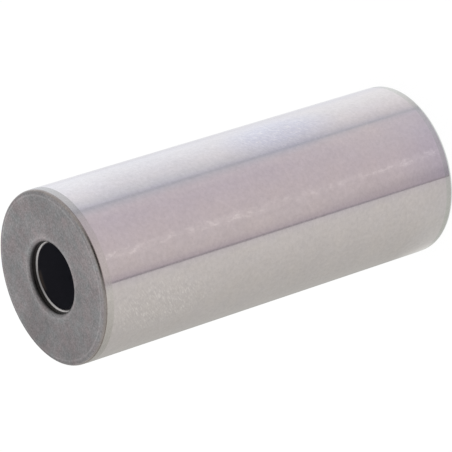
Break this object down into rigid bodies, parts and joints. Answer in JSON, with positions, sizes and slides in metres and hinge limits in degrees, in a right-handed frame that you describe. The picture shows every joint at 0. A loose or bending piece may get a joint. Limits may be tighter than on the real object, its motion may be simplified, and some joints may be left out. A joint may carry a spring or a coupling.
{
  "type": "crank pin",
  "caption": "Hollow ground-steel crank pin for a built-up crankshaft, with rounded end edges and a recessed sheet-steel cup plug pressed into each end of its bore.",
  "frame": {"origin": "centre of the lower end face, which the pin stands on", "axes": "+Z along the pin's axis, towards the end that the picture shows"},
  "size_m": [0.03, 0.03, 0.0742],
  "materials": {
    "hardened_steel": "ground and polished track, matt unground ends",
    "drawn_steel": "drawn sheet with a bright trimmed rim"
  },
  "bodies": {
    "root": {"crank_pin": "hardened_steel", "upper_plug": "drawn_steel", "lower_plug": "drawn_steel"}
  },
  "joints": []
}
